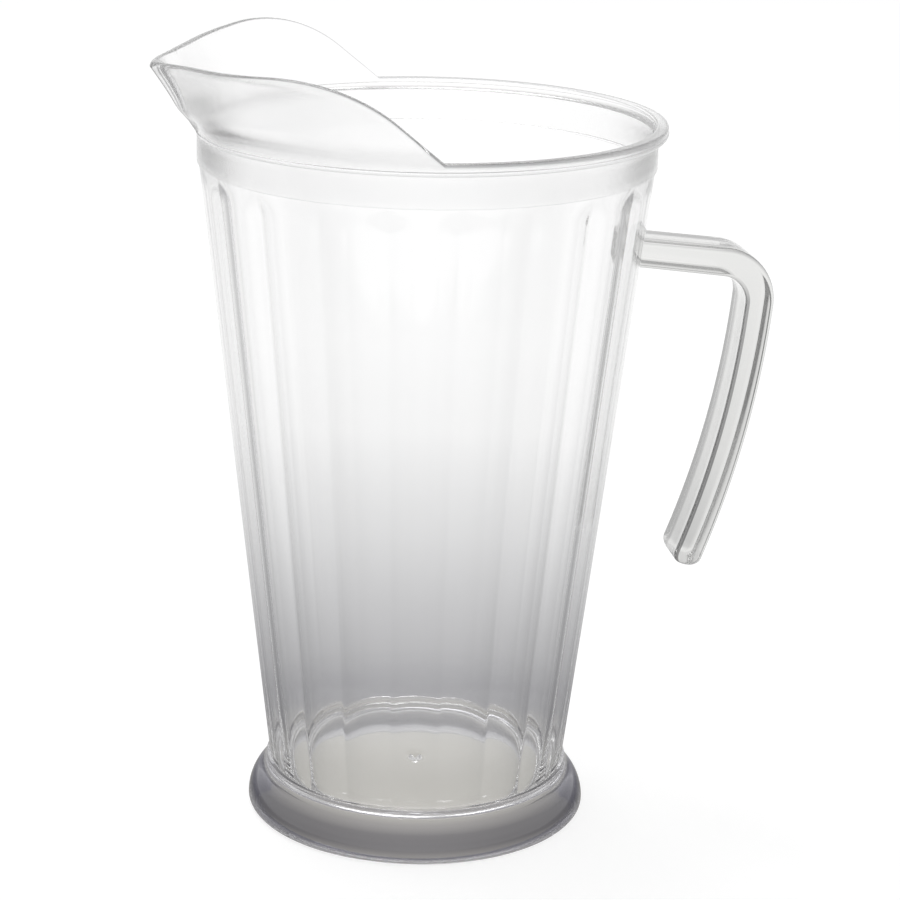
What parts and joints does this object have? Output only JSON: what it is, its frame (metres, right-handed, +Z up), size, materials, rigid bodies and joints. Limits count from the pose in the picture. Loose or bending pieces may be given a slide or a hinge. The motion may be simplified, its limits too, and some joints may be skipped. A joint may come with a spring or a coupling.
{
  "type": "beer pitcher",
  "caption": "Clear plastic beer pitcher: a tapered cup fluted inside, on a flared hollow foot, with a raised pouring lip and beak and an open hook handle.",
  "frame": {"origin": "centre of the foot's resting face, on the cup's axis", "axes": "+Z up along the cup's axis, +X towards the handle, -X towards the beak"},
  "size_m": [0.1864, 0.1404, 0.2357],
  "materials": {
    "clear_cup": "polished clear plastic",
    "clear_foot": "polished clear plastic",
    "clear_collar": "polished clear plastic",
    "clear_handle": "polished clear plastic"
  },
  "bodies": {
    "root": {"fluted_cup": "clear_cup", "foot_ring": "clear_foot", "pouring_collar": "clear_collar", "hook_handle": "clear_handle"}
  },
  "joints": []
}
